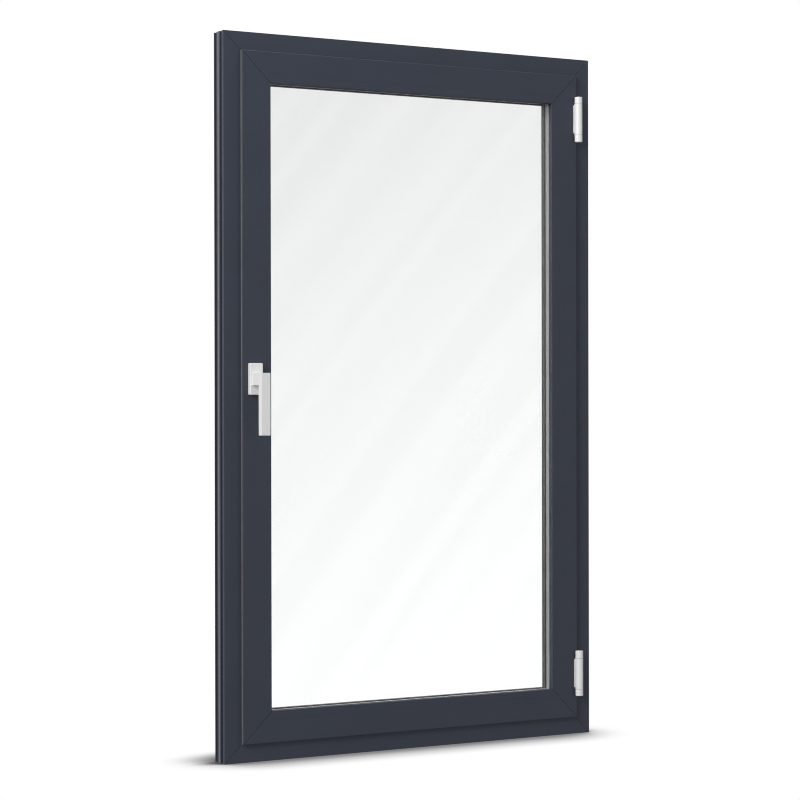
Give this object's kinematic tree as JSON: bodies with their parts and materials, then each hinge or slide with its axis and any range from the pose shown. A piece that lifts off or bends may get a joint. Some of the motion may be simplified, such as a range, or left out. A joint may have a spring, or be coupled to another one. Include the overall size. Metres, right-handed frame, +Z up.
{
  "type": "aluminium window",
  "caption": "Tall single-sash tilt and turn window in anthracite powder-coated aluminium with thermal breaks, clear double glazing, a satin white lever handle and barrel hinges, shown closed",
  "frame": {"origin": "Middle of the underside of the outer frame, where the sill member rests, halfway along its width and halfway through the frame's depth", "axes": "+X to the right seen from the room, +Y out of the room to the weather side, +Z up; the room is on the -Y side"},
  "size_m": [0.9, 0.106, 1.5],
  "materials": {
    "coated_aluminium": "fine satin powder coat, anthracite",
    "polyamide": "matt extruded polyamide, dark grey",
    "gasket_rubber": "matt extruded rubber",
    "clear_glass": "clear float glass, polished",
    "spacer_metal": "mill finish, matt",
    "sealant": "matt sealant",
    "block_plastic": "matt moulded plastic, light grey",
    "satin_white": "satin paint, near white",
    "hinge_pin_steel": "plated steel"
  },
  "bodies": {
    "root": {"bottom_hinge_frame_bearing": "satin_white", "bottom_hinge_pin": "hinge_pin_steel", "bottom_hinge_sash_leaf": "satin_white", "centre_gasket": "gasket_rubber", "edge_sealant": "sealant", "frame_inner_bottom": "coated_aluminium", "frame_inner_left": "coated_aluminium", "frame_inner_right": "coated_aluminium", "frame_inner_top": "coated_aluminium", "frame_outer_bottom": "coated_aluminium", "frame_outer_left": "coated_aluminium", "frame_outer_right": "coated_aluminium", "frame_outer_top": "coated_aluminium", "frame_thermal_break_bottom": "polyamide", "frame_thermal_break_left": "polyamide", "frame_thermal_break_right": "polyamide", "frame_thermal_break_top": "polyamide", "glazing_bead_bottom": "coated_aluminium", "glazing_bead_left": "coated_aluminium", "glazing_bead_right": "coated_aluminium", "glazing_bead_top": "coated_aluminium", "glazing_blocks": "block_plastic", "handle_lever": "satin_white", "handle_rosette": "satin_white", "inner_glazing_gasket": "gasket_rubber", "inner_pane": "clear_glass", "outer_glazing_gasket": "gasket_rubber", "outer_pane": "clear_glass", "overlap_gasket": "gasket_rubber", "sash_inner_bottom": "coated_aluminium", "sash_inner_left": "coated_aluminium", "sash_inner_right": "coated_aluminium", "sash_inner_top": "coated_aluminium", "sash_outer_bottom": "coated_aluminium", "sash_outer_left": "coated_aluminium", "sash_outer_right": "coated_aluminium", "sash_outer_top": "coated_aluminium", "sash_thermal_break_bottom": "polyamide", "sash_thermal_break_left": "polyamide", "sash_thermal_break_right": "polyamide", "sash_thermal_break_top": "polyamide", "spacer_bar": "spacer_metal", "top_hinge_frame_bearing": "satin_white", "top_hinge_pin": "hinge_pin_steel", "top_hinge_sash_leaf": "satin_white"}
  },
  "joints": []
}
